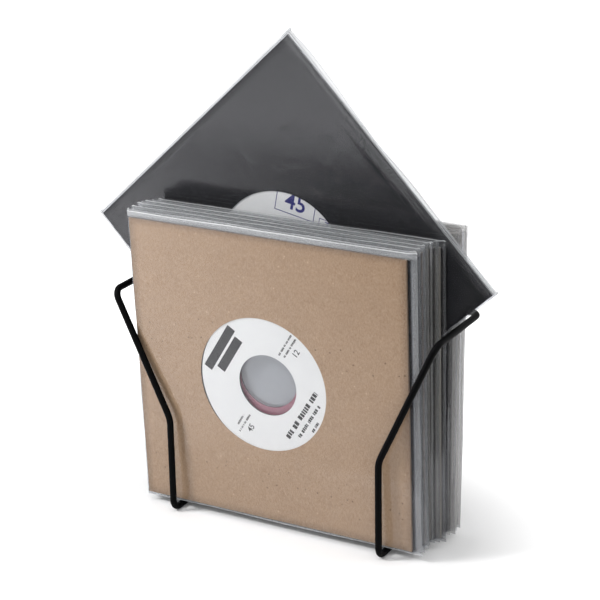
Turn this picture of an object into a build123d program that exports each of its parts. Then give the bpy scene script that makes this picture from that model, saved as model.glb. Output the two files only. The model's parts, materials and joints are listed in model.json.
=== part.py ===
from build123d import *

import os
from dataclasses import dataclass
from math import cos, radians, sin, tan

# Bent-wire stand with a row of seven-inch singles in clear outer sleeves.
# Frame: +Z up, +X to the right along the width of the sleeves, +Y to the back of the row.
# The origin lies on the table, under the middle of the stand. Millimetres.

os.makedirs("parts", exist_ok=True)

# Discs: seven-inch singles
disc_diameter = 175.0
disc_thickness = 1.0
jukebox_hole = 38.1
spindle_hole = 7.24
rim_width = 2.0
rim_bevel = 0.25
groove_depth = 0.06
label_diameter = 89.0
label_thickness = 0.1
label_land = 2.5

# Card sleeves: two boards joined along both sides and the bottom, open at the top
board = 0.25
card_seam = 1.0
card_fold = 0.5
card_room = 3.0
card_headroom = 4.2
window_diameter = 84.0

# Where a window's middle lies from the disc's middle, with the disc halfway across its card
window_offset = (-4.5, -0.3)
corner_window_offset = (1.1, -5.0)

# Outer sleeves: clear film, sealed along both sides and the bottom, open at the top
film = 0.08
film_side_seal = 1.0
film_bottom_seal = 1.7
film_room = 6.0
film_headroom = 5.0

# Clearances
face_gap = 0.12
seat_gap = 0.3

# The row, counted from the front: a fan of upright singles, one set cornerwise, more uprights
windowed_count = 2
fan_gap = 0.40
rear_gap = 0.24
gap_before_corner = 1.9
gap_after_corner = 0.3
front_lean = -2.6
fan_last_lean = -1.4
corner_lean = -1.2
rear_first_lean = -0.9
rear_last_lean = 1.6
corner_turn = 42.6

# How far each upright single stands to the right of the middle, where its card lies in its
# film and its disc in its card, from 0 at the far left to 1 at the far right, and how high
# its disc has stuck above the bottom of the card
fan = [
    (0.3, 0.0, 0.0, 0.0),
    (-1.6, 0.1, 0.3, 4.0),
    (-0.4, 0.2, 0.3, 0.0),
    (-2.2, 0.8, 0.7, 0.0),
    (-0.5, 0.5, 0.5, 0.0),
    (-2.4, 0.9, 0.2, 0.0),
    (-1.8, 0.3, 0.8, 0.0),
    (-0.4, 0.7, 0.4, 0.0),
    (1.9, 0.4, 0.6, 0.0),
    (4.8, 0.6, 0.5, 0.0),
]
rear = [
    (1.5, 0.3, 0.6, 0.0),
    (3.2, 0.7, 0.3, 0.0),
    (5.6, 0.2, 0.5, 0.0),
    (3.0, 0.6, 0.7, 0.0),
    (4.4, 0.8, 0.4, 0.0),
    (2.6, 0.4, 0.6, 0.0),
    (4.7, 0.5, 0.5, 0.0),
]
corner_card_side = 1.0
corner_disc_side = 0.73

# How much wider and higher than the others the card sleeve of the cornerwise single is
corner_card_extra = (4.3, 1.0)

# Wire stand
wire = 4.0
upright_inset = 24.0
flare_start = 61.8
arm_height = 138.7
side_room = 9.6
corner_radius = 6.0
flare_radius = 18.0

# Sizes that follow: the card fits its disc, the film fits its card, and the stand its row
label_area_radius = label_diameter / 2 + label_land
disc_seat = card_fold + seat_gap
card_width = disc_diameter + card_room + 2 * card_seam
card_height = disc_seat + disc_diameter + card_headroom
card_cavity = disc_thickness + 2 * face_gap
card_thickness = card_cavity + 2 * board
card_seat = film_bottom_seal + seat_gap
film_width = card_width + film_room + 2 * film_side_seal
film_height = card_seat + card_height + film_headroom
film_cavity = card_thickness + 2 * face_gap
single_thickness = film_cavity + 2 * film
wire_radius = wire / 2
arm_x = film_width / 2 + side_room + wire_radius
upright_x = film_width / 2 - upright_inset
row_bottom = wire + seat_gap


def reach(lean, rise):
    """How far back a sheet with this lean goes over this rise."""
    return tan(radians(lean)) * rise


# The front single leans on the two flares, where the edges of its outer sleeve cross them
flare_share = (film_width / 2 - upright_x) / (arm_x - upright_x)
flare_contact = flare_start + flare_share * (arm_height - flare_start)
front_rest = wire_radius + seat_gap + single_thickness / 2
first_y = front_rest - reach(front_lean, flare_contact - row_bottom)
fan_pitch = single_thickness + fan_gap
fan_last_y = first_y + (len(fan) - 1) * fan_pitch
corner_y = fan_last_y + single_thickness + gap_before_corner
rear_first_y = corner_y + single_thickness + gap_after_corner
rear_pitch = single_thickness + rear_gap
rear_last_y = rear_first_y + (len(rear) - 1) * rear_pitch

# The last single leans on the back rail, which sets how deep the stand is
back_rest = rear_last_y + reach(rear_last_lean, arm_height - row_bottom) + single_thickness / 2
stand_depth = back_rest + seat_gap + wire_radius
front_y = -stand_depth / 2
rear_y = stand_depth / 2


@dataclass
class Single:
    """One single: where its outer sleeve's bottom edge lies, and what is inside it."""

    number: int
    plane: Plane
    card_side: float
    disc_side: float
    disc_rise: float = 0.0
    card_extra: tuple = (0.0, 0.0)
    window: tuple | None = None
    hole: float = spindle_hole
    labelled: bool = False


def sheet_plane(x, y, z, lean, turn=0.0):
    """The middle plane of a single: its y runs up the sheet, its z points to the front."""
    across = Vector(1, 0, 0)
    up = Vector(0, sin(radians(lean)), cos(radians(lean)))
    along = across * cos(radians(turn)) - up * sin(radians(turn))
    return Plane(origin=(x, y, z), x_dir=along, z_dir=across.cross(up))


def upright_plane(x, y, lean):
    return sheet_plane(x, front_y + y, row_bottom, lean)


def cornerwise_plane():
    """The plane of the single that hangs by its two lower edges on the arms."""
    rise = (arm_height - row_bottom) / cos(radians(corner_lean))
    lower_right = Vector(cos(radians(corner_turn)), sin(radians(corner_turn)))
    lower_left = Vector(-sin(radians(corner_turn)), cos(radians(corner_turn)))
    stand_off = wire_radius + seat_gap
    corner = Vector(arm_x, rise) - lower_right * (2 * arm_x * cos(radians(corner_turn)))
    corner += (lower_right + lower_left) * stand_off
    bottom_middle = corner + lower_left * (film_width / 2)
    flat = upright_plane(0, corner_y, corner_lean)
    origin = flat.from_local_coords(bottom_middle)
    return sheet_plane(origin.X, origin.Y, origin.Z, corner_lean, 90 - corner_turn)


def between(first, last, index, count):
    """The value at this place in a row that goes evenly from the first to the last."""
    return first + (last - first) * index / (count - 1)


def show_disc(single, offset):
    """This single's card has a window, and its disc has labels and a jukebox hole."""
    single.window = offset
    single.hole = jukebox_hole
    single.labelled = True


def all_singles():
    """The fan of uprights, the one set cornerwise, then the uprights behind it."""
    singles = []
    for i, (shift, *inside) in enumerate(fan):
        lean = between(front_lean, fan_last_lean, i, len(fan))
        plane = upright_plane(shift, first_y + i * fan_pitch, lean)
        singles.append(Single(i + 1, plane, *inside))
    for single in singles[:windowed_count]:
        show_disc(single, window_offset)
    corner = Single(len(fan) + 1, cornerwise_plane(), corner_card_side, corner_disc_side)
    corner.card_extra = corner_card_extra
    show_disc(corner, corner_window_offset)
    singles.append(corner)
    for i, (shift, *inside) in enumerate(rear):
        lean = between(rear_first_lean, rear_last_lean, i, len(rear))
        plane = upright_plane(shift, rear_first_y + i * rear_pitch, lean)
        singles.append(Single(len(fan) + 2 + i, plane, *inside))
    return singles


def shifted(plane, x=0.0, y=0.0, z=0.0):
    """The same plane, moved along its own axes."""
    return Plane(origin=plane.from_local_coords((x, y, z)), x_dir=plane.x_dir, z_dir=plane.z_dir)


def write(part, name):
    part.label = name
    export_step(part, f"parts/{name}.step")


def upright_sheet(plane, width, height, thickness, window=None):
    """A flat sheet that stands on the plane's origin, with a round window if it has one."""
    with BuildPart() as flat:
        with BuildSketch(plane):
            Rectangle(width, height, align=(Align.CENTER, Align.MIN))
            if window:
                with Locations(window):
                    Circle(window_diameter / 2, mode=Mode.SUBTRACT)
        extrude(amount=thickness / 2, both=True)
    return flat.part


def pocket(plane, width, height, thickness, wall, side, bottom, window=None):
    """Two sheets and the seams between them: one along each side and one along the bottom."""
    cavity = thickness - 2 * wall
    out = (thickness - wall) / 2
    sheets = [upright_sheet(shifted(plane, z=z), width, height, wall, window) for z in (out, -out)]
    for x in ((side - width) / 2, (width - side) / 2):
        sheets.append(upright_sheet(shifted(plane, x=x), side, height, cavity))
    sheets.append(upright_sheet(plane, width - 2 * side, bottom, cavity))
    return Compound(children=sheets)


def outer_sleeve(single):
    """Two films, welded along the sides and the bottom."""
    return pocket(
        single.plane,
        film_width,
        film_height,
        single_thickness,
        wall=film,
        side=film_side_seal,
        bottom=film_bottom_seal,
    )


def card_plane(single):
    """The card sleeve stands on the bottom seal of its outer sleeve."""
    room = film_room - single.card_extra[0]
    offset = (single.card_side - 0.5) * (room - 2 * seat_gap)
    return shifted(single.plane, x=offset, y=card_seat)


def card_sleeve(single):
    """Two boards, glued along the sides and folded at the bottom."""
    window = None
    if single.window:
        across, up = single.window
        window = (across, disc_seat + disc_diameter / 2 + up)
    wider, higher = single.card_extra
    return pocket(
        card_plane(single),
        card_width + wider,
        card_height + higher,
        card_thickness,
        wall=board,
        side=card_seam,
        bottom=card_fold,
        window=window,
    )


def disc_plane(single):
    """The disc stands on the fold at the bottom of its card sleeve, or has stuck above it."""
    room = card_room + single.card_extra[0]
    offset = (single.disc_side - 0.5) * (room - 2 * seat_gap)
    rise = disc_seat + disc_diameter / 2 + single.disc_rise
    return shifted(card_plane(single), x=offset, y=rise)


def both_sides(plane):
    """The disc's plane, seen from the front and from the back."""
    return plane, Plane(origin=plane.origin, x_dir=plane.x_dir, z_dir=-plane.z_dir)


def disc(single):
    """A pressed disc: a full rim and label area, with the grooved band a little thinner."""
    plane = disc_plane(single)
    band_floor = disc_thickness / 2 - groove_depth
    label_floor = disc_thickness / 2 - label_thickness
    with BuildPart() as record:
        with BuildSketch(plane):
            Circle(disc_diameter / 2)
        extrude(amount=disc_thickness / 2, both=True)
        chamfer(record.edges().filter_by(GeomType.CIRCLE), rim_bevel)
        for side in both_sides(plane):
            with BuildSketch(side.offset(band_floor)):
                Circle(disc_diameter / 2 - rim_width)
                Circle(label_area_radius, mode=Mode.SUBTRACT)
            extrude(amount=disc_thickness, mode=Mode.SUBTRACT)
            if single.labelled:
                with BuildSketch(side.offset(label_floor)):
                    Circle(label_diameter / 2)
                extrude(amount=disc_thickness, mode=Mode.SUBTRACT)
        with BuildSketch(plane):
            Circle(single.hole / 2)
        extrude(amount=disc_thickness, both=True, mode=Mode.SUBTRACT)
    return record.part


def labels(single):
    """Two paper labels, pressed flush into the two faces of the disc."""
    with BuildPart() as papers:
        for side in both_sides(disc_plane(single)):
            with BuildSketch(side.offset(disc_thickness / 2 - label_thickness)):
                Circle(label_diameter / 2)
                Circle(single.hole / 2, mode=Mode.SUBTRACT)
            extrude(amount=label_thickness)
    return papers.part


# The stand is one closed loop of round wire: half of it is swept, and the rest mirrors it
half_loop = [
    (0, rear_y, wire_radius),
    (upright_x, rear_y, wire_radius),
    (upright_x, front_y, wire_radius),
    (upright_x, front_y, flare_start),
    (arm_x, front_y, arm_height),
    (arm_x, rear_y, arm_height),
    (0, rear_y, arm_height),
]
bend_radii = [corner_radius, corner_radius, flare_radius, corner_radius, corner_radius]
with BuildPart() as wire_stand:
    with BuildLine() as wire_path:
        FilletPolyline(*half_loop, radius=bend_radii)
    with BuildSketch(Plane(origin=half_loop[0], z_dir=(1, 0, 0))):
        Circle(wire_radius)
    sweep(path=wire_path.line)
    mirror(about=Plane.YZ)
write(wire_stand.part, "wire_stand")

for single in all_singles():
    name = f"single_{single.number:02d}"
    write(outer_sleeve(single), f"{name}_outer_sleeve")
    write(card_sleeve(single), f"{name}_card_sleeve")
    write(disc(single), f"{name}_disc")
    if single.labelled:
        write(labels(single), f"{name}_labels")

print("stand", round(2 * (arm_x + wire_radius), 2), round(stand_depth + wire, 2), arm_height + wire_radius)
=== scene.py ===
import json
import math
import random

import bpy
import numpy as np
from mathutils import Matrix, Vector, noise


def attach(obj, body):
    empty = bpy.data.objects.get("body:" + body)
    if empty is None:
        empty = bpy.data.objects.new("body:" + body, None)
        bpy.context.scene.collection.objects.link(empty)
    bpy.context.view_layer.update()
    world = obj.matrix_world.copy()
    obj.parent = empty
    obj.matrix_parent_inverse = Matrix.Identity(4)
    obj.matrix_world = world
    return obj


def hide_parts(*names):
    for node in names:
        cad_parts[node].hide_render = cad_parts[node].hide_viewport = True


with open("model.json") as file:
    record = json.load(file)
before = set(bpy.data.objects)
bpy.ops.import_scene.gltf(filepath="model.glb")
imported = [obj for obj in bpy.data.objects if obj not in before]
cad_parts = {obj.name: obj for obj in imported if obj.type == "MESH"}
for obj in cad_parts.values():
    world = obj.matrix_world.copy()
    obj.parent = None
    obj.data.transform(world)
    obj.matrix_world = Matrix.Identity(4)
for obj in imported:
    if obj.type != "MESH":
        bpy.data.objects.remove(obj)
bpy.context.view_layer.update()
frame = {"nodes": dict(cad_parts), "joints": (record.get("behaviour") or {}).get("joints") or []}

# All lengths are in metres, in the row frame. Angles are in degrees.

# Camera, solved from the photo. Its focal length and the row of its axis are in pixels.
camera_place = (0.5123, -0.9104, 0.5166)
camera_down = 19.42
camera_yaw = -29.14
camera_roll = -1.03
image_side = 600
focal_pixels = 1900.3
sensor_width = 36.0
axis_row = 285.8

# Film of the outer sleeves
film_wall = 0.00008
weld_width = 0.001
bottom_weld = 0.0017
on_weld = 0.000001
mesh_step = 0.005
margin_step = 0.0008
film_ripple = 0.00003
lip_corner = 0.0005
edge_wander = 0.00035
margin_wave = 0.0008
rim_width = 0.0007
sharp_angle = 40

# Small folds at the cornerwise film's mouth, where it is clear of the singles around it
crinkle_reach = 0.016
clear_height = 0.197
clear_height_fade = 0.01
clear_side = 0.103
clear_side_fade = 0.006

# What the film's vertices carry for its material: how milky it is in places, partly as painted
# highlight, and where painted shade darkens it beside the card's edges
film_marks = ("weld", "lip", "margin", "milk", "edge_shade")
weld_milk = 0.06
foot_milk = 0.35
margin_clear = 0.3
margin_rise = 0.3
margin_edge = 0.001
lip_edge = 0.0015
# How much the fan films' lip milk fades from their left end to their right: painted light from the left
lip_left_light_fade = 0.55
# Painted shade in the film: a darker line just above the card's top edge, this high and this wide
top_shade_place = 0.0006
top_shade_reach = 0.001

# Labels
label_radius = 0.0445
label_hole = 0.00362
front_label_turn = 58.0
corner_label_turn = 36.0
label_paper = 0.00005
ink = 0.00001
print_gap = 0.000002
hidden_paper_step = 3
hidden_turn_step = 67

# Grooved part of a disc
groove_inner = 0.0475
groove_outer = 0.0848

# Floor, and the glow added to it near and far from the object: kept weak near the object, it leaves a
# painted pool of shade round its foot
floor_corners = ((-6.0, -6.0), (6.0, -6.0), (6.0, 6.0), (-6.0, 6.0))
near_fade = (0.13, 0.22)
near_lift = (0.05, 0.6)
far_fade = (0.45, 1.2)
far_lift = (0.0, 0.3)

# A dark sheet in front, which only mirrors see: a painted dark reflection
dark_reflection_corners = ((-0.75, -0.64), (0.5, -0.64), (0.5, -0.1), (-0.2, -0.1))
dark_reflection_height = 0.001
dark_reflection_slant = (1.0, -0.98, 0.0)
dark_reflection_edge = (0.0, 0.3)

# Light, and how many layers of film a ray may cross
world_light = 0.5
lamp_aim = (0, 0, 0.14)
film_layers = 96

FAN = range(1, 11)
CORNER = 11
REAR = range(12, 19)
OLDER_FILM = range(13, 19)
LABELLED = (1, 2, 11)

nodes = frame["nodes"]
joints = {joint["name"]: joint for joint in frame["joints"]}


def linear(red, green, blue):
    """A colour given as on a screen, from 0 to 255, in Blender's linear values."""
    share = [channel / 255 for channel in (red, green, blue)]
    return [c / 12.92 if c <= 0.04045 else ((c + 0.055) / 1.055) ** 2.4 for c in share] + [1.0]


# Places: each single has a plane, and what is in it is measured there


class Single:
    """One single's plane: u runs across it, v up it and w out of its front."""

    def __init__(self, number):
        self.number = number
        self.name = f"single_{number:02d}"
        up = Vector(joints[f"{self.name}_disc_slide"]["axis"]).normalized()
        lift = Vector(joints[f"{self.name}_lift"]["axis"])
        out = Vector((1, 0, 0)).cross(lift).normalized()
        turn = Matrix((up.cross(out), up, out)).transposed().to_4x4()
        low, high = self.span("outer_sleeve", turn)
        foot = Vector(((low[0] + high[0]) / 2, low[1], (low[2] + high[2]) / 2))
        self.place = Matrix.Translation(turn @ foot) @ turn
        self.film = self.box("outer_sleeve")
        self.card = self.box("card_sleeve")
        low, high = self.box("disc")
        self.disc_middle = (low + high) / 2
        self.disc_face = (high[2] - low[2]) / 2
        self.disc_place = self.place @ Matrix.Translation(self.disc_middle)

    def span(self, node, place):
        """The lowest and highest corner of one of its nodes, measured in this place."""
        back = place.inverted()
        points = np.array([back @ v.co for v in nodes[f"{self.name}_{node}"].data.vertices])
        return Vector(points.min(axis=0)), Vector(points.max(axis=0))

    def box(self, node):
        """The same, measured in its own plane."""
        return self.span(node, self.place)


# Shader graphs


class Graph:
    """A shader graph whose nodes are added by short calls."""

    def __init__(self, tree):
        self.tree = tree
        self.tree.nodes.clear()

    def node(self, kind, links=None, **settings):
        """A new node. links holds what goes into its inputs: another node's socket, or a value."""
        node = self.tree.nodes.new("ShaderNode" + kind)
        for key, value in settings.items():
            setattr(node, key, value)
        for key, value in (links or {}).items():
            if isinstance(value, bpy.types.NodeSocket):
                self.tree.links.new(value, node.inputs[key])
            else:
                node.inputs[key].default_value = value
        return node

    def math(self, operation, *values, clamp=False):
        links = dict(enumerate(values))
        return self.node("Math", links, operation=operation, use_clamp=clamp).outputs[0]

    def grain(self, vector, scale, detail=3.0, rough=0.5, stretch=None):
        """Noise from 0 to 1 at this many features a metre."""
        if stretch:
            vector = self.node("Mapping", {"Vector": vector, "Scale": stretch}).outputs[0]
        links = {"Vector": vector, "Scale": scale, "Detail": detail, "Roughness": rough}
        return self.node("TexNoise", links).outputs["Fac"]

    def band(self, value, low, high, to_low=0.0, to_high=1.0):
        """The value stretched from one range to another, and kept inside it."""
        links = {"Value": value, "From Min": low, "From Max": high, "To Min": to_low, "To Max": to_high}
        return self.node("MapRange", links).outputs[0]

    def mix(self, factor, first, second, blend="MIX"):
        node = self.node("Mix", data_type="RGBA", blend_type=blend)
        for index, value in zip((0, 6, 7), (factor, first, second)):
            if isinstance(value, bpy.types.NodeSocket):
                self.tree.links.new(value, node.inputs[index])
            else:
                node.inputs[index].default_value = value
        return node.outputs[2]

    def bump(self, height, strength, distance):
        links = {"Height": height, "Strength": strength, "Distance": distance}
        return self.node("Bump", links).outputs["Normal"]

    def place(self):
        """The place on the piece. Every piece's object lies at the origin, so it is in metres."""
        return self.node("TexCoord").outputs["Object"]


class Finish(Graph):
    """A material."""

    def __init__(self, name):
        self.material = bpy.data.materials.new(name)
        self.material.use_nodes = True
        super().__init__(self.material.node_tree)

    def finish(self, shader):
        self.node("OutputMaterial", {"Surface": shader})
        return self.material


def card_finish(name, tone, dark, light, fleck, grain=0.16):
    """Uncoated board: cloudy, with fine fibres that mostly run upright, and a few flecks."""
    f = Finish(name)
    place = f.place()
    cloud = f.grain(place, 55, detail=4, rough=0.6)
    fibre = f.grain(place, 1.0, detail=5, rough=0.65, stretch=(1200, 1200, 620))
    tooth = f.grain(place, 2600, detail=2)
    tone = f.mix(f.band(cloud, 0.3, 0.7, 0.0, 0.35), tone, dark)
    tone = f.mix(f.band(fibre, 0.35, 0.7, 0.0, grain * 2), tone, light)
    cells = f.node("TexVoronoi", {"Vector": place, "Scale": 260.0, "Randomness": 1.0})
    pick = f.node("SeparateColor", {"Color": cells.outputs["Color"]})
    speck = f.band(cells.outputs["Distance"], 0.11, 0.18, 1.0, 0.0)
    light_speck = f.math("MULTIPLY", speck, f.math("GREATER_THAN", pick.outputs[0], 0.88))
    dark_speck = f.math("MULTIPLY", speck, f.math("GREATER_THAN", pick.outputs[1], 0.86))
    tone = f.mix(f.math("MULTIPLY", light_speck, fleck), tone, [channel * 1.15 for channel in light])
    tone = f.mix(f.math("MULTIPLY", dark_speck, fleck), tone, [channel * 0.6 for channel in dark])
    height = f.math("ADD", fibre, f.math("MULTIPLY", tooth, 0.5))
    links = {
        "Base Color": tone,
        "Roughness": f.band(tooth, 0.3, 0.7, 0.78, 0.9),
        "Specular IOR Level": 0.2,
        "Normal": f.bump(height, 0.14, 0.00006),
    }
    return f.finish(f.node("BsdfPrincipled", links).outputs[0])


def wire_finish():
    """Black powder coat: satin, with a fine orange peel and slightly rubbed high spots."""
    f = Finish("black_powder_coat")
    place = f.place()
    peel = f.grain(place, 1500, detail=2, rough=0.5)
    rub = f.grain(place, 90, detail=5, rough=0.7)
    tone = f.mix(f.band(rub, 0.55, 0.8, 0.0, 0.6), linear(6, 6, 7), linear(14, 14, 15))
    links = {
        "Base Color": tone,
        "Roughness": f.band(rub, 0.3, 0.8, 0.46, 0.6),
        "Specular IOR Level": 0.04,
        "Normal": f.bump(peel, 0.35, 0.00012),
    }
    return f.finish(f.node("BsdfPrincipled", links).outputs[0])


def vinyl_finish(single):
    """Pressed vinyl: fine grooves in rings round the disc's middle, with wider gaps between tracks."""
    f = Finish(f"{single.name}_vinyl")
    links = {
        "Vector": f.place(),
        "Location": single.disc_place.translation,
        "Rotation": single.disc_place.to_euler(),
    }
    local = f.node("Mapping", links, vector_type="TEXTURE").outputs[0]
    flat = f.node("VectorMath", {0: local, 1: (1, 1, 0)}, operation="MULTIPLY").outputs[0]
    radius = f.node("VectorMath", {0: flat}, operation="LENGTH").outputs["Value"]
    ring = f.node("CombineXYZ", {"X": radius}).outputs[0]
    groove = f.grain(ring, 2600, detail=2, rough=0.7)
    track = f.grain(ring, 130, detail=3, rough=0.8)
    dust = f.grain(local, 900, detail=6, rough=0.75)
    grooved = f.math(
        "MULTIPLY",
        f.math("GREATER_THAN", radius, groove_inner),
        f.math("LESS_THAN", radius, groove_outer),
    )
    tone = f.mix(f.band(dust, 0.62, 0.8, 0.0, 0.35), linear(12, 12, 13), linear(60, 60, 62))
    gloss = f.band(track, 0.3, 0.7, 0.2, 0.34)
    links = {
        "Base Color": tone,
        "Specular IOR Level": 0.35,
        "Roughness": gloss,
        "Normal": f.bump(f.math("MULTIPLY", groove, grooved), 0.5, 0.00012),
    }
    return f.finish(f.node("BsdfPrincipled", links).outputs[0])


def paper_finish(name, tone, shade):
    """Coated label paper: nearly even, with a faint cloud and a soft tooth."""
    f = Finish(name)
    place = f.place()
    cloud = f.grain(place, 130, detail=4, rough=0.6)
    tooth = f.grain(place, 3500, detail=3)
    links = {
        "Base Color": f.mix(f.band(cloud, 0.35, 0.7, 0.0, 0.5), tone, shade),
        "Roughness": f.band(tooth, 0.3, 0.7, 0.5, 0.62),
        "Normal": f.bump(tooth, 0.15, 0.00003),
    }
    return f.finish(f.node("BsdfPrincipled", links).outputs[0])


def ink_finish(name, tone):
    """Printed ink, a little uneven where the paper shows through."""
    f = Finish(name)
    wear = f.grain(f.place(), 2200, detail=3, rough=0.7)
    light = [channel + 0.015 for channel in tone[:3]] + [1.0]
    links = {
        "Base Color": f.mix(f.band(wear, 0.4, 0.75, 0.0, 0.7), tone, light),
        "Roughness": f.band(wear, 0.3, 0.7, 0.4, 0.55),
    }
    return f.finish(f.node("BsdfPrincipled", links).outputs[0])


def film_finish(name, milky):
    """Clear soft film, a little grey: it mirrors more at a slant, is milky where it is welded or
    cut, and is drawn into soft folds along the lips and the side margins. Its milk at the lips and
    the cut edge, and along their folds, is partly painted highlight, and beside the card's edges
    its see-through tint is darker: painted shade."""
    f = Finish(name)
    sheet = f.node("Attribute", attribute_name="sheet").outputs["Vector"]
    weld, lip, margin, milk, edge_shade = (
        f.node("Attribute", attribute_name=mark).outputs["Fac"] for mark in film_marks
    )
    ripple = f.grain(sheet, 42, detail=2, rough=0.45)
    scuff = f.grain(sheet, 420, detail=4, rough=0.7)
    along_lip = f.grain(sheet, 1.0, detail=1, rough=0.5, stretch=(6, 300, 1))
    along_side = f.grain(sheet, 1.0, detail=2, rough=0.5, stretch=(230, 5, 1))
    lip_folds = f.math("MULTIPLY", lip, along_lip)
    side_folds = f.math("MULTIPLY", margin, along_side)
    streak = f.math("ADD", lip_folds, side_folds)
    height = f.math("MULTIPLY_ADD", side_folds, 0.25, ripple)
    normal = f.bump(f.math("MULTIPLY_ADD", lip_folds, 0.5, height), 0.5, 0.0012)
    facing = f.node("LayerWeight", {"Blend": 0.5, "Normal": normal}).outputs["Facing"]
    slant = f.math("POWER", facing, 5.0)
    mirrored = f.math("MULTIPLY_ADD", slant, 0.9, 0.03, clamp=True)
    mirror = f.node("BsdfGlossy", {"Color": (0.89, 0.885, 0.93, 1), "Roughness": 0.12, "Normal": normal})
    tint = f.mix(weld, (0.955, 0.958, 0.96, 1), (0.9, 0.905, 0.91, 1))
    # Beside the card's edges the see-through tint darkens by the shade mark: painted shade in the gap
    # there
    clear = f.node("BsdfTransparent", {"Color": f.mix(edge_shade, tint, (0.75, 0.755, 0.77, 1))})
    milky = f.mix(f.band(milk, 0.4, 0.8), milky, (0.92, 0.92, 0.93, 1))
    cloudy = f.node("BsdfDiffuse", {"Color": f.mix(scuff, milky, (0.62, 0.63, 0.64, 1))})
    # Milk is stronger along the lip and side folds: partly haze, partly painted highlight streaks
    haze_and_highlight = f.math("MULTIPLY", milk, f.band(streak, 0.25, 0.75, 0.55, 1.6))
    haze_and_highlight = f.math("ADD", haze_and_highlight, f.band(scuff, 0.5, 0.8, 0.003, 0.012), clamp=True)
    body = f.node("MixShader", {0: haze_and_highlight, 1: clear.outputs[0], 2: cloudy.outputs[0]}).outputs[0]
    film = f.node("MixShader", {0: mirrored, 1: body, 2: mirror.outputs[0]}).outputs[0]
    return f.finish(film)


# Pieces


def new_piece(name, vertices, faces, material, body):
    """A mesh with one material, which rides on a body."""
    mesh = bpy.data.meshes.new(name)
    mesh.from_pydata(vertices, [], faces)
    mesh.validate()
    mesh.materials.append(material)
    piece = bpy.data.objects.new(name, mesh)
    bpy.context.scene.collection.objects.link(piece)
    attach(piece, body)
    return piece


def stations(start, stop, step):
    """Evenly spaced places from start to stop, about step apart, without the last."""
    count = max(1, math.ceil((stop - start) / step - 1e-6))
    return [start + (stop - start) * i / count for i in range(count)]


def wave(seed, *place):
    """Smooth noise from about -1 to 1, which repeats the same on every run."""
    point = Vector((*place, 0.0, 0.0, 0.0)[:3]) + Vector((seed * 7.31, seed * 3.17, seed * 1.93))
    return max(-1.0, min(1.0, noise.noise(point) * 1.6))


def rising(value):
    """A quarter of a sine wave, from 0 at 0 to 1 at 1."""
    return math.sin(math.pi / 2 * max(0.0, min(1.0, value)))


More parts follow.
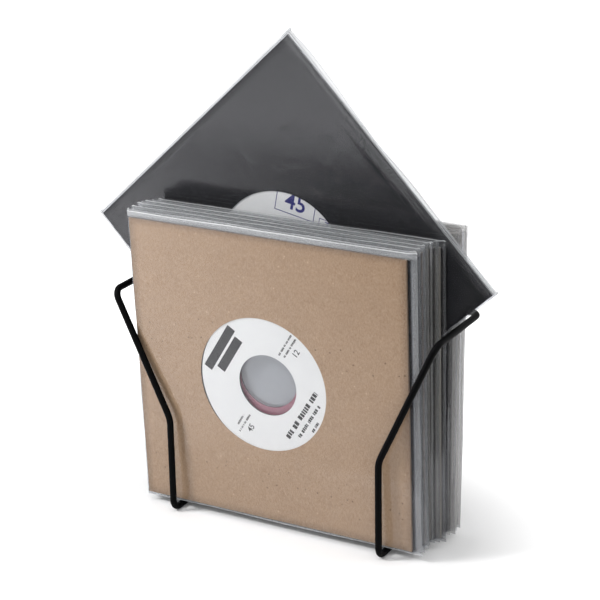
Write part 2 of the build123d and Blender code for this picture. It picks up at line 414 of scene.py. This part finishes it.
class Bag:
    """The shape of one outer sleeve: two films, pinched at the welds and open at the top."""

    def __init__(self, single, front_wave, back_wave, edge_cut, crinkle, drawn, milks_and_highlights):
        self.seed = single.number
        self.place = single.place
        low, high = single.film
        self.half_width = (high[0] - low[0]) / 2
        self.height = high[1] - low[1]
        self.half_depth = (high[2] - low[2]) / 2
        self.card_left, self.card_right = single.card[0][0], single.card[1][0]
        self.card_foot, self.card_top = single.card[0][1], single.card[1][1]
        card_half = (single.card[1][2] - single.card[0][2]) / 2
        self.closed = film_wall / 2
        self.open = (card_half + self.half_depth) / 2 + film_wall / 4
        self.lip_wave = {1: front_wave, -1: back_wave}
        self.edge_cut = edge_cut
        self.crinkle = crinkle
        self.drawn = drawn
        self.sheet_milk, self.lip_milk, self.margin_milk, self.rim_milk_and_highlight = milks_and_highlights
        self.left_light_fade = lip_left_light_fade if single.number in FAN else 0.0
        inner = self.half_width - weld_width
        self.columns = [-self.half_width, -inner]
        self.columns += stations(-inner, self.card_left, margin_step)[1:]
        self.columns += stations(self.card_left, self.card_right, mesh_step)
        self.columns += stations(self.card_right, inner, margin_step)
        self.columns += [inner, self.half_width]
        crinkled = self.card_top - crinkle_reach
        self.rows = [0.0, bottom_weld]
        self.rows += stations(bottom_weld, self.card_foot, margin_step)[1:]
        self.rows += stations(self.card_foot, crinkled, mesh_step)
        self.rows += stations(crinkled, self.card_top, margin_step if crinkle else mesh_step)
        self.rows += stations(self.card_top, self.height - rim_width, margin_step)
        self.rows += [self.height - rim_width, self.height]

    def spread(self, u, v):
        """How far the two films are apart here, from 0 at a weld to 1 over the card."""
        inner = self.half_width - weld_width
        left = rising((u + inner) / (self.card_left + inner))
        right = rising((inner - u) / (inner - self.card_right))
        foot = rising((v - bottom_weld) / (self.card_foot - bottom_weld))
        return min(left, right) * foot

    def lip(self, v):
        """From 0 at the card's top edge to 1 at the film's."""
        return max(0.0, (v - self.card_top) / (self.height - self.card_top))

    def crease(self, u, v, seed):
        """Small outward folds near the mouth, where nothing lies against the film."""
        if not self.crinkle or v < self.card_top - crinkle_reach:
            return 0.0
        at = self.place @ Vector((u, v, 0))
        over = (at.z - clear_height) / clear_height_fade
        beside = (at.x - clear_side) / clear_side_fade
        free = max(0.0, min(1.0, max(over, beside)))
        near = max(0.0, min(1.0, (v - self.card_top + crinkle_reach) / crinkle_reach))
        long_fold = max(0.0, wave(seed + 6.6, u * 16, v * 210) - 0.15)
        short_fold = max(0.0, wave(seed + 8.1, u * 75, v * 60) - 0.45)
        return self.crinkle * free * near**1.5 * (0.55 * long_fold + 1.3 * short_fold)

    def point(self, u, v, side, skin):
        """A point of the front (side 1) or back (side -1) film, on its outer or inner skin."""
        apart = self.spread(u, v)
        depth = self.closed + (self.open - self.closed) * apart
        seed = self.seed + (0.37 if side < 0 else 0.0)
        ripple = 0.5 + 0.5 * wave(seed, u * 40, v * 28)
        depth -= film_ripple * apart * ripple
        lip = self.lip(v)
        curl = 0.5 + 0.5 * wave(seed + 5.1, u * 42, v * 12)
        depth += self.lip_wave[side] * curl * lip**1.4 * apart
        depth += self.crease(u, v, seed) * apart
        pinch = 1 - apart
        room = self.half_depth - depth - film_wall / 2
        middle = pinch * min(max(room, 0.0), margin_wave) * wave(self.seed + 9.7, u * 20, v * 30)
        w = middle + side * (depth + skin * film_wall / 2)
        u_in = edge_wander * (0.5 + 0.5 * wave(self.seed + 2.3, v * 24)) * pinch
        u_moved = u - math.copysign(u_in, u)
        near = max(0.0, lip_corner - (self.half_width - abs(u)))
        v_moved = v - (lip_corner - math.sqrt(lip_corner**2 - near**2)) * lip
        v_moved -= self.edge_cut * (0.5 + 0.5 * wave(seed + 4.4, u * 23)) * lip * apart
        v_moved -= edge_wander * (0.5 + 0.5 * wave(self.seed + 4.4, u * 30)) * lip
        return Vector((u_moved, v_moved, w))

    def marks(self, u, v, side):
        """How far this place is welded, at the lip, beside the card and milky, the milk partly painted
        highlight and painted light from the left, and how much painted shade it takes beside the card's
        edges.
        """
        at_side = abs(u) > self.half_width - weld_width - on_weld
        at_foot = v < bottom_weld + on_weld
        welded = 1.0 if at_side or at_foot else 0.0
        lip = max(0.0, min(1.0, (v - self.card_top + self.drawn) / lip_edge))
        above = min(1.0, self.lip(v) * 4)
        beside = max(self.card_left - u, u - self.card_right, self.card_foot - v)
        margin = max(0.0, min(1.0, beside / margin_edge)) * (1 - above)
        shares = (
            (self.card_left - u) / (self.card_left + self.half_width),
            (u - self.card_right) / (self.half_width - self.card_right),
            (self.card_foot - v) / self.card_foot,
        )
        share = max(shares)
        outer = max(0.0, min(1.0, (share - margin_clear) / margin_rise)) * (1 - above)
        across = (u + self.half_width) / (2 * self.half_width)
        # Lip milk is stronger towards the left end of the fan films: painted light from the left; the
        # rest of its patchiness is random
        patchy_and_left_lit = (1 - self.left_light_fade * across) * (0.85 + 0.3 * wave(self.seed + 12.3, u * 16, v * 60))
        # The front film's cut rim is milky, partly as a painted highlight along the edge
        rim = 1.0 if side > 0 and v > self.height - rim_width * 0.5 else 0.0
        # Milk at the lip is partly haze and partly painted highlight, strongest on the front single's
        # film
        milk = self.sheet_milk + self.lip_milk * max(above, lip * 0.08) * patchy_and_left_lit
        milk += self.margin_milk * outer
        milk += weld_milk * welded + self.rim_milk_and_highlight * rim
        milk += foot_milk if at_foot else 0.0
        # Painted shade: a darker see-through tint just beyond the card's side and bottom edges, wider on
        # a wider margin, and a line of it just above the card's top edge
        edge_shade = max(0.0, min(1.0, (share + 0.05) / 0.12, (0.5 - share) / 0.25)) * (1 - above)
        edge_shade = max(edge_shade, 1 - abs(v - self.card_top - top_shade_place) / top_shade_reach)
        return welded, lip, margin, milk, edge_shade

    def mesh(self, place):
        """A closed skin around both films: its vertices and faces, and what each vertex carries."""
        columns, rows = self.columns, self.rows
        last, top = len(columns) - 1, len(rows) - 1
        vertices, marks, sheet, index = [], [], [], {}
        faces = []

        def corner(i, j, side, skin):
            joined = skin < 0 and (i in (1, last - 1) or j == 1)
            key = (i, j, 0 if joined else side, skin)
            if key not in index:
                u, v = columns[i], rows[j]
                here = self.point(u, v, side, skin)
                if joined:
                    here[2] = (self.point(u, v, 1, skin)[2] + self.point(u, v, -1, skin)[2]) / 2
                index[key] = len(vertices)
                vertices.append(place @ here)
                marks.append(self.marks(u, v, side))
                sheet.append((u, v, self.seed * 1.7 + side * 0.4))
            return index[key]

        def face(*corners):
            faces.append([corner(*c) for c in corners])

        for side in (1, -1):
            for i in range(last):
                for j in range(top):
                    quad = [(i, j), (i + 1, j), (i + 1, j + 1), (i, j + 1)]
                    face(*[(*q, side, 1) for q in quad[::side]])
                    if 1 <= i < last - 1 and j >= 1:
                        face(*[(*q, side, -1) for q in quad[::-side]])
        for j in range(top):
            face((0, j + 1, -1, 1), (0, j, -1, 1), (0, j, 1, 1), (0, j + 1, 1, 1))
            face((last, j, -1, 1), (last, j + 1, -1, 1), (last, j + 1, 1, 1), (last, j, 1, 1))
        for i in range(last):
            face((i, 0, -1, 1), (i + 1, 0, -1, 1), (i + 1, 0, 1, 1), (i, 0, 1, 1))
            if 1 <= i < last - 1:
                for side in (1, -1):
                    outside = [(i, top, side, 1), (i + 1, top, side, 1)]
                    inside = [(i + 1, top, side, -1), (i, top, side, -1)]
                    face(*(outside + inside)[::side])
        for i, inner in ((0, 1), (last, last - 1)):
            front = [(i, top, 1, 1), (inner, top, 1, 1)]
            back = [(inner, top, 1, -1), (inner, top, -1, 1), (i, top, -1, 1)]
            face(*(front + back if i == 0 else (front + back)[::-1]))
        return vertices, faces, marks, sheet


def outer_sleeve(single, material, film_values):
    """One outer sleeve in film, in place of its CAD node."""
    vertices, faces, marks, sheet = Bag(single, *film_values).mesh(single.place)
    name = f"{single.name}_film"
    piece = new_piece(name, vertices, faces, material, f"{single.name}_film")
    for mark, values in zip(film_marks, zip(*marks)):
        piece.data.attributes.new(mark, "FLOAT", "POINT").data.foreach_set("value", values)
    places = piece.data.attributes.new("sheet", "FLOAT_VECTOR", "POINT")
    places.data.foreach_set("vector", [number for place in sheet for number in place])
    piece.data.shade_smooth()
    piece.data.set_sharp_from_angle(angle=math.radians(sharp_angle))
    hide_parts(f"{single.name}_outer_sleeve")


def ring(place, radius, hole, low, high, count=72):
    """A flat ring between two heights above the plane of place, with all its walls."""
    vertices, faces = [], []
    for i in range(count):
        angle = 2 * math.pi * i / count
        for r, w in ((radius, low), (radius, high), (hole, high), (hole, low)):
            vertices.append(place @ Vector((r * math.cos(angle), r * math.sin(angle), w)))
    for i in range(count):
        a, b = 4 * i, 4 * ((i + 1) % count)
        faces += [(a + k, b + k, b + (k + 1) % 4, a + (k + 1) % 4) for k in range(4)]
    return vertices, faces


def joined(parts):
    """Several lists of vertices and faces as one."""
    vertices, faces = [], []
    for more_vertices, more_faces in parts:
        faces += [[index + len(vertices) for index in face] for face in more_faces]
        vertices += more_vertices
    return vertices, faces


class Print:
    """Ink on a label: flat pieces a hundredth of a millimetre thick, over the paper. Rows of bars,
    frames and numbers are placed by their middle, and one bar by the middle of its left end."""

    def __init__(self, place, face, seed):
        self.place = place @ Matrix.Translation((0, 0, face))
        self.random = random.Random(seed)
        self.parts = []

    def block(self, u, v, width, height):
        """A bar, from its left end and middle."""
        outline = [(u, v - height / 2), (u + width, v - height / 2)]
        outline += [(u + width, v + height / 2), (u, v + height / 2)]
        self.shape(outline)

    def shape(self, outline):
        """A flat piece with this outline, which runs to the left round it."""
        count = len(outline)
        vertices = [self.place @ Vector((u, v, w)) for w in (0.0, ink) for u, v in outline]
        faces = [list(range(count, 2 * count)), list(range(count - 1, -1, -1))]
        faces += [(i, (i + 1) % count, count + (i + 1) % count, count + i) for i in range(count)]
        self.parts.append((vertices, faces))

    def words(self, u, v, length, height):
        """A row of small bars, which looks like a line of type but says nothing."""
        at = u - length / 2
        end = u + length / 2
        while at < end:
            width = min(self.random.uniform(0.3, 0.75) * height, end - at)
            self.block(at, v + self.random.uniform(-0.06, 0.06) * height, width, height)
            at += width + (0.8 if self.random.random() < 0.2 else 0.17) * height

    def frame(self, u, v, width, height, line):
        """Four bars round a box."""
        self.block(u - width / 2, v + height / 2, width, line)
        self.block(u - width / 2, v - height / 2, width, line)
        for x in (u - width / 2, u + width / 2 - line):
            self.block(x, v, line, height - line)

    def number(self, text, u, v, height):
        """Numerals in Blender's own font."""
        curve = bpy.data.curves.new("number", "FONT")
        curve.body = text
        curve.size = height / 0.7
        curve.align_x = "CENTER"
        curve.align_y = "CENTER"
        curve.extrude = ink / 2
        curve.offset = height * 0.02
        curve.resolution_u = 4
        holder = bpy.data.objects.new("number", curve)
        mesh = bpy.data.meshes.new_from_object(holder)
        move = self.place @ Matrix.Translation((u, v, ink / 2))
        vertices = [move @ vertex.co for vertex in mesh.vertices]
        self.parts.append((vertices, [list(polygon.vertices) for polygon in mesh.polygons]))
        bpy.data.objects.remove(holder)
        bpy.data.curves.remove(curve)
        bpy.data.meshes.remove(mesh)

    def piece(self, single, name, material):
        """All of it as one piece, which rides with the disc."""
        vertices, faces = joined(self.parts)
        body = f"{single.name}_record"
        new_piece(f"{single.name}_{name}", vertices, faces, material, body)


def face_place(single, side, turn):
    """The middle of one face of the disc, its third axis pointing out of it, turned in its plane."""
    flip = Matrix.Rotation(0.0 if side > 0 else math.pi, 4, "Y")
    return single.disc_place @ flip @ Matrix.Rotation(math.radians(turn), 4, "Z")


def print_front_label(single):
    """The front single's labels: two dark bars, rows of small ones, and two numbers."""
    for side, name in ((1, "front_print"), (-1, "back_print")):
        place = face_place(single, side, front_label_turn)
        p = Print(place, single.disc_face + print_gap, single.number)
        p.block(-0.0175, 0.0365, 0.033, 0.0058)
        p.block(-0.0125, 0.0292, 0.025, 0.0058)
        p.words(0.0303, 0.0038, 0.0165, 0.0012)
        p.words(0.0308, 0.0004, 0.015, 0.0012)
        p.number("33" if side < 0 else "12", 0.0305, -0.0044, 0.0036)
        p.words(-0.0322, 0.0030, 0.008, 0.0012)
        p.words(-0.0322, -0.0002, 0.0145, 0.0012)
        p.number("45", -0.0322, -0.0050, 0.0036)
        p.words(-0.0012, -0.0267, 0.038, 0.0031)
        p.words(-0.0012, -0.0323, 0.0265, 0.002)
        p.words(-0.0012, -0.0372, 0.0085, 0.0016)
        p.piece(single, name, black_ink)


def print_corner_label(single):
    """The cornerwise single's labels: two framed numbers, and rows of small bars."""
    for side, name in ((1, "front_print"), (-1, "back_print")):
        place = face_place(single, side, corner_label_turn)
        p = Print(place, single.disc_face + print_gap, single.number)
        p.frame(0.0, 0.0335, 0.026, 0.0145, 0.0005)
        p.number("45", 0.0, 0.0335, 0.0098)
        p.frame(0.0215, 0.0268, 0.0105, 0.0065, 0.0004)
        p.number("7", 0.0215, 0.0268, 0.0042)
        p.words(0.0, -0.028, 0.034, 0.0026)
        p.words(0.0, -0.0335, 0.022, 0.0018)
        p.piece(single, name, navy_ink)


def print_hidden_label(single, paper, ink_material, turn):
    """A paper label on each face of a disc whose card has no window, with its own print."""
    rings = []
    prints = []
    low, high = single.disc_face, single.disc_face + label_paper
    for side in (1, -1):
        place = face_place(single, side, turn)
        rings.append(ring(place, label_radius, label_hole, low, high))
        prints.append(Print(place, high, single.number))
    vertices, faces = joined(rings)
    new_piece(f"{single.name}_paper", vertices, faces, paper, f"{single.name}_record")
    for p in prints:
        p.words(0.0, 0.031, 0.024, 0.005)
        p.words(0.0, -0.0215, 0.036, 0.0026)
        p.words(0.0, -0.027, 0.026, 0.0018)
        p.words(-0.027, 0.002, 0.012, 0.0012)
        p.number("45", 0.027, 0.002, 0.004)
    prints[0].parts += prints[1].parts
    prints[0].piece(single, "print", ink_material)


def stage_plane(name, corners, height, material):
    """A level plane that is not part of the object."""
    mesh = bpy.data.meshes.new(name)
    mesh.from_pydata([(x, y, height) for x, y in corners], [], [(0, 1, 2, 3)])
    mesh.materials.append(material)
    plane = bpy.data.objects.new(name, mesh)
    bpy.context.scene.collection.objects.link(plane)
    return plane


def seen_directly(f):
    """1 for rays from the camera and in mirrors and glass, 0 for the rest."""
    path = f.node("LightPath").outputs
    seen = f.math("MAXIMUM", path["Is Camera Ray"], path["Is Glossy Ray"])
    return f.math("MAXIMUM", seen, path["Is Transmission Ray"])


def floor_finish():
    """Matt white, with a glow that the camera, mirrors and glass see, growing away from a point a little
    left of the object's middle: far out it makes the floor white, and kept weak near the object it
    paints a pool of shade round its foot, besides the shadow it casts.
    """
    f = Finish("pale_floor")
    links = {"Vector": f.place(), "Location": (0.02, 0, 0), "Scale": (1, 1.5, 0)}
    flat = f.node("Mapping", links).outputs[0]
    away = f.node("VectorMath", {0: flat}, operation="LENGTH").outputs["Value"]
    # Weak glow near the object, stronger further out: painted shade near the foot, white floor far away
    lift = f.math("ADD", f.band(away, *near_fade, *near_lift), f.band(away, *far_fade, *far_lift))
    lit = f.node("BsdfDiffuse", {"Color": (0.9, 0.9, 0.9, 1)})
    glow = f.node("Emission", {"Strength": f.math("MULTIPLY", seen_directly(f), lift)})
    return f.finish(f.node("AddShader", {0: lit.outputs[0], 1: glow.outputs[0]}).outputs[0])


def painted_dark_reflection():
    """A dark sheet out of view in front, denser to the right, which only mirrors see: a painted dark
    reflection that takes the white out of what the film mirrors there."""
    f = Finish("painted_dark_reflection")
    place = f.place()
    along = f.node("VectorMath", {0: place, 1: dark_reflection_slant}, operation="DOT_PRODUCT").outputs["Value"]
    mottle = f.grain(place, 300, detail=3)
    # Its mottled dark tone is seen only in mirrors: painted reflection
    links = {"Base Color": f.mix(mottle, linear(20, 20, 22), linear(40, 40, 42)), "Roughness": 0.9}
    dark_surface = f.node("BsdfPrincipled", links)
    see_through = f.node("BsdfTransparent")
    density = f.band(along, *dark_reflection_edge)
    shader = f.node("MixShader", {0: density, 1: see_through.outputs[0], 2: dark_surface.outputs[0]}).outputs[0]
    sheet = stage_plane("painted_dark_reflection", dark_reflection_corners, dark_reflection_height, f.finish(shader))
    sheet.visible_camera = False
    sheet.visible_diffuse = False
    sheet.visible_shadow = False
    sheet.visible_transmission = False


def set_world(light):
    """White to the eye, and this bright to what it lights."""
    world = bpy.data.worlds.new("studio")
    world.use_nodes = True
    bpy.context.scene.world = world
    f = Graph(world.node_tree)
    strength = f.band(seen_directly(f), 0.0, 1.0, light, 1.0)
    sky = f.node("Background", {"Color": (1, 1, 1, 1), "Strength": strength})
    f.node("OutputWorld", {"Surface": sky.outputs[0]})


def lamp(name, azimuth, elevation, distance, size, power):
    """A soft square lamp that points at the object. Azimuth 0 is in front, and 90 to the right."""
    a, e = math.radians(azimuth), math.radians(elevation)
    away = Vector((math.sin(a) * math.cos(e), -math.cos(a) * math.cos(e), math.sin(e)))
    light = bpy.data.lights.new(name, "AREA")
    light.shape = "SQUARE"
    light.size = size
    light.energy = power
    holder = bpy.data.objects.new(name, light)
    holder.location = Vector(lamp_aim) + away * distance
    holder.rotation_euler = away.to_track_quat("Z", "Y").to_euler()
    bpy.context.scene.collection.objects.link(holder)


def set_camera():
    """The camera of the photo."""
    down, yaw, roll = (math.radians(x) for x in (camera_down, camera_yaw, camera_roll))
    ahead = Vector((math.sin(yaw) * math.cos(down), math.cos(yaw) * math.cos(down), -math.sin(down)))
    right = ahead.cross(Vector((0, 0, 1))).normalized()
    up = right.cross(ahead)
    turned_right = right * math.cos(roll) + up * math.sin(roll)
    turned_up = up * math.cos(roll) - right * math.sin(roll)
    camera = bpy.data.cameras.new("camera")
    camera.sensor_width = sensor_width
    camera.lens = focal_pixels * sensor_width / image_side
    camera.shift_y = (axis_row - image_side / 2) / image_side
    holder = bpy.data.objects.new("camera", camera)
    turn = Matrix((turned_right, turned_up, -ahead)).transposed().to_4x4()
    holder.matrix_world = Matrix.Translation(camera_place) @ turn
    bpy.context.scene.collection.objects.link(holder)
    bpy.context.scene.camera = holder


# Build

singles = [Single(number) for number in (*FAN, CORNER, *REAR)]

# Each board's tone, and its darker clouds and lighter fibres
kraft_tones = linear(172, 142, 114), linear(149, 119, 92), linear(196, 169, 142)
black_tones = linear(30, 30, 33), linear(22, 22, 25), linear(44, 44, 48)
grey_tones = linear(112, 112, 112), linear(94, 94, 94), linear(138, 138, 138)
dim_tones = linear(170, 165, 154), linear(152, 147, 137), linear(188, 183, 173)
pale_tones = linear(240, 239, 241), linear(228, 227, 230), linear(248, 248, 249)
white_tones = linear(196, 190, 184), linear(176, 170, 164), linear(214, 210, 205)
kraft = card_finish("kraft_board", *kraft_tones, fleck=0.8, grain=0.4)
black_board = card_finish("black_board", *black_tones, fleck=0.2, grain=0.1)
grey_board = card_finish("grey_board", *grey_tones, fleck=0.2)
dim_board = card_finish("dim_board", *dim_tones, fleck=0.2)
pale_board = card_finish("pale_board", *pale_tones, fleck=0.2)
white_board = card_finish("white_board", *white_tones, fleck=0.2)

# Each film: how far its front and back lips stand out, how deep their edges are cut, how deep it
# creases at the mouth, and how far below the card's top it is drawn into folds. Then how milky it
# is over the card, and how much more at the lip, beside the card and at the cut edge; the extra
# milk at the lip and the cut edge is partly painted highlight.
fan_shape = (0.00035, 0.0005, 0.0003, 0.0, 0.0)
rear_shape = (0.0006, 0.0006, 0.0005, 0.0, 0.0)
fan_rim_milk_and_highlight = (0.9, 0.2, 1.0, 0.3, 1.0, 0.2, 0.9, 0.2)
fan_margins = (0.02, 0.05, 0.08, 0.14, 0.12, 0.1, 0.05, 0.03)
film_values = {1: (0.0009, 0.0006, 0.0004, 0.0, 0.0, (0.0, 0.5, 0.11, 1.0))}
for number, margin, rim in zip(FAN[1:-1], fan_margins, fan_rim_milk_and_highlight):
    film_values[number] = (*fan_shape, (0.0, 0.14, margin, rim))
film_values[10] = (*fan_shape, (0.0, 0.05, 0.02, 0.9))
film_values[CORNER] = (0.0016, 0.0014, 0.003, 0.0003, 0.005, (0.0, 0.36, 0.2, 0.4))
film_values[12] = (*rear_shape, (0.0, 0.03, 0.01, 0.2))
film_values[13] = (*rear_shape, (0.01, 0.12, 0.03, 0.3))
film_values[14] = (*rear_shape, (0.04, 0.16, 0.15, 0.3))
film_values |= {number: (*rear_shape, (0.16, 0.18, 0.24, 0.3)) for number in REAR[3:]}

boards = {number: grey_board for number in FAN} | {number: pale_board for number in REAR}
boards |= {1: kraft, 3: pale_board, 4: white_board, 6: kraft, 7: white_board}
boards |= {number: dim_board for number in (8, 9, 10)}
boards |= {number: black_board for number in (CORNER, 12, 13, 14, 15)}

white_paper = paper_finish("white_label_paper", linear(241, 241, 241), linear(233, 233, 234))
pink_paper = paper_finish("pink_label_paper", linear(198, 100, 126), linear(186, 90, 114))
film = film_finish("clear_soft_film", (0.5, 0.515, 0.53, 1))
rear_film = film_finish("clear_soft_film_older", (0.84, 0.80, 0.755, 1))
black_ink = ink_finish("black_ink", linear(22, 22, 25))
navy_ink = ink_finish("navy_ink", linear(44, 44, 120))
hidden_labels = [
    (linear(200, 60, 48), linear(184, 52, 44)),
    (linear(232, 190, 70), linear(222, 178, 62)),
    (linear(60, 96, 150), linear(52, 86, 138)),
    (linear(226, 222, 212), linear(214, 210, 198)),
    (linear(72, 130, 96), linear(64, 118, 86)),
]
hidden_papers = [
    paper_finish(f"label_paper_{i}", tone, shade) for i, (tone, shade) in enumerate(hidden_labels, 1)
]

for single in singles:
    number = single.number
    board = boards[number]
    nodes[f"{single.name}_card_sleeve"].material_slots[0].material = board
    nodes[f"{single.name}_disc"].material_slots[0].material = vinyl_finish(single)
    if number in LABELLED:
        paper = pink_paper if number == 2 else white_paper
        nodes[f"{single.name}_labels"].material_slots[0].material = paper
    outer_sleeve(single, rear_film if number in OLDER_FILM else film, film_values[number])
    if number == 1:
        print_front_label(single)
    elif number == CORNER:
        print_corner_label(single)
    elif number not in LABELLED:
        paper = hidden_papers[number * hidden_paper_step % len(hidden_papers)]
        print_hidden_label(single, paper, black_ink, number * hidden_turn_step)
nodes["wire_stand"].material_slots[0].material = wire_finish()

set_camera()
stage_plane("floor", floor_corners, 0.0, floor_finish())
painted_dark_reflection()
set_world(world_light)
lamp("key", -50, 35, 0.95, 0.22, 6.4)
lamp("top", 0, 80, 1.5, 1.6, 9.0)
lamp("fill", 112, 32, 1.2, 0.8, 3.0)

scene = bpy.context.scene
scene.view_settings.view_transform = "Standard"
scene.cycles.transparent_max_bounces = film_layers
